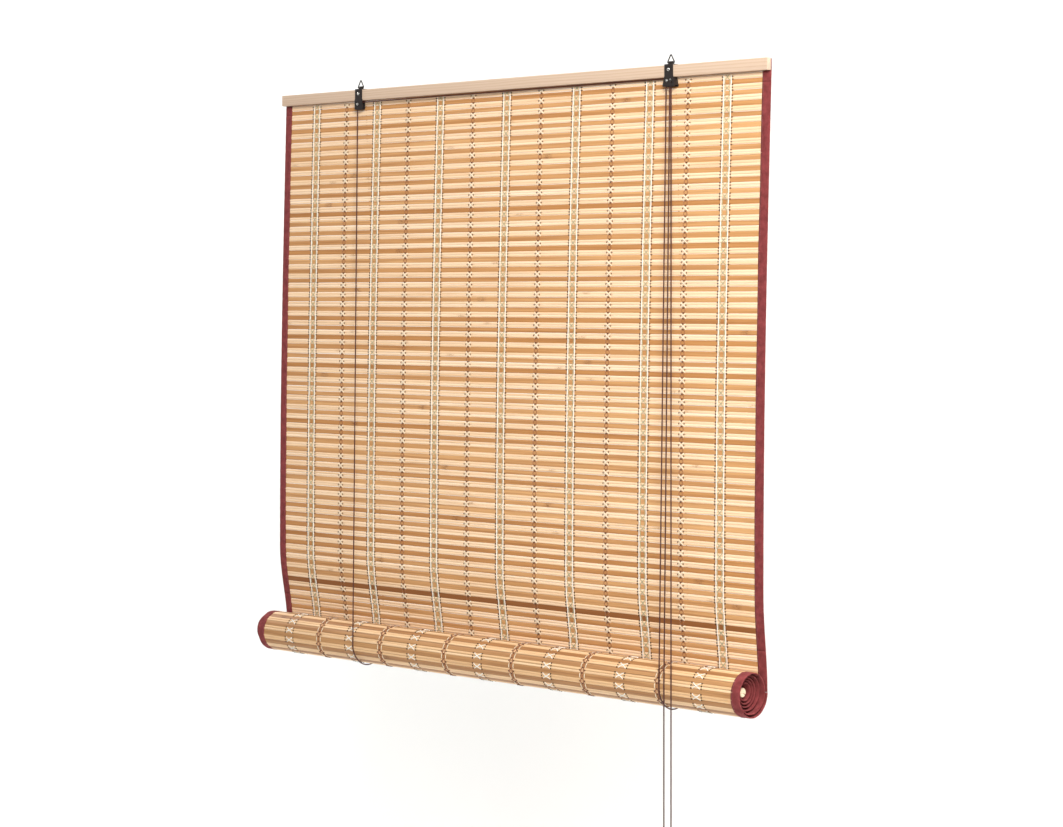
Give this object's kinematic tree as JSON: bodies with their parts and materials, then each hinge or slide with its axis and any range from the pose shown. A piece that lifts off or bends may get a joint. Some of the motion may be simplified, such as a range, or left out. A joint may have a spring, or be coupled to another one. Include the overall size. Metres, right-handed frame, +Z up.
{
  "type": "roll-up bamboo blind",
  "caption": "Cord-operated roll-up blind of woven bamboo, partly raised: pine headrail, two hooked brackets, pulley, cord lock and pull cords.",
  "frame": {"origin": "middle of the headrail's top face", "axes": "+X to the right of a person facing the blind, -Y towards that person, +Z up"},
  "size_m": [1.0008, 0.0916, 1.1962],
  "materials": {
    "pine": "planed, unvarnished",
    "woven_bamboo": "split bamboo slats and sticks, woven with cotton warps",
    "edge_binding": "folded burgundy cotton twill",
    "black_lacquer": "black baked lacquer on bent steel sheet and wire",
    "bright_steel": "bright zinc plated",
    "brown_cord": "braided polyester cord",
    "dark_wood": "turned and stained beech, satin"
  },
  "bodies": {
    "root": {"headrail": "pine", "hanging_sheet": "woven_bamboo", "hanging_binding_left": "edge_binding", "hanging_binding_right": "edge_binding", "staple_1": "bright_steel", "staple_2": "bright_steel", "staple_3": "bright_steel", "staple_4": "bright_steel", "staple_5": "bright_steel", "staple_6": "bright_steel", "left_bracket": "black_lacquer", "left_pulley_case": "black_lacquer", "left_pulley_axle": "bright_steel", "left_bracket_screw": "bright_steel", "right_bracket": "black_lacquer", "lock_case": "black_lacquer", "right_pulley_axle": "bright_steel", "right_bracket_screw": "bright_steel", "cross_cord": "brown_cord", "left_back_cord": "brown_cord", "right_back_cord": "brown_cord", "left_front_cord": "brown_cord", "right_front_cord": "brown_cord", "left_back_knot": "brown_cord", "right_back_knot": "brown_cord", "left_tail_upper": "brown_cord", "right_tail_upper": "brown_cord"},
    "lift": {"left_sling": "brown_cord", "right_sling": "brown_cord", "left_tail_lower": "brown_cord", "right_tail_lower": "brown_cord"},
    "roll": {"rolled_sheet": "woven_bamboo", "rolled_binding_left": "edge_binding", "rolled_binding_right": "edge_binding", "bottom_batten": "pine"},
    "left_pull": {"left_pull_knob": "dark_wood", "left_pull_knot": "brown_cord"},
    "right_pull": {"right_pull_knob": "dark_wood", "right_pull_knot": "brown_cord"},
    "left_wheel": {"left_pulley": "bright_steel"},
    "right_wheel": {"right_pulley": "bright_steel"},
    "left_ring": {"left_hanging_ring": "black_lacquer"},
    "right_ring": {"right_hanging_ring": "black_lacquer"},
    "roller": {"lock_roller": "bright_steel"}
  },
  "joints": [
    {"name": "roll_lift", "type": "slide", "parent": "root", "child": "lift", "axis": [0, 0, 1], "range_m": [0, 0.79], "deforming": ["hanging_sheet", "hanging_binding_left", "hanging_binding_right", "left_front_cord", "right_front_cord", "left_back_cord", "right_back_cord", "left_tail_upper", "right_tail_upper"]},
    {"name": "roll_turn", "type": "hinge", "parent": "lift", "child": "roll", "pos_m": [0, -0.031, -0.89], "axis": [0.9999, -0.012, 0], "range_deg": [-1440.5, 0]},
    {"name": "left_pull_slide", "type": "slide", "parent": "lift", "child": "left_pull", "axis": [0, 0, -1], "range_m": [0, 2.37], "deforming": ["left_tail_lower"]},
    {"name": "right_pull_slide", "type": "slide", "parent": "lift", "child": "right_pull", "axis": [0, 0, -1], "range_m": [0, 2.37], "deforming": ["right_tail_lower"]},
    {"name": "left_pulley_turn", "type": "hinge", "parent": "root", "child": "left_wheel", "pos_m": [-0.318, 0, -0.0237], "axis": [0, 1, 0], "continuous": true},
    {"name": "right_pulley_turn", "type": "hinge", "parent": "root", "child": "right_wheel", "pos_m": [0.3214, 0, -0.0225], "axis": [0, 1, 0], "continuous": true},
    {"name": "lock_roller_slide", "type": "slide", "parent": "root", "child": "roller", "axis": [0.5, 0, -0.866], "range_m": [0, 0.005]},
    {"name": "left_ring_swing", "type": "hinge", "parent": "root", "child": "left_ring", "pos_m": [-0.316, 0, 0.0035], "axis": [1, 0, 0], "range_deg": [-95, 95]},
    {"name": "right_ring_swing", "type": "hinge", "parent": "root", "child": "right_ring", "pos_m": [0.325, 0, 0.0035], "axis": [1, 0, 0], "range_deg": [-95, 95]}
  ],
  "couplings": [
    {"joint": "roll_turn", "follows": "roll_lift", "rad_per_m": -31.814},
    {"joint": "left_pull_slide", "follows": "roll_lift", "ratio": 3},
    {"joint": "right_pull_slide", "follows": "roll_lift", "ratio": 3},
    {"joint": "left_pulley_turn", "follows": "roll_lift", "rad_per_m": 625},
    {"joint": "right_pulley_turn", "follows": "roll_lift", "rad_per_m": 625}
  ]
}
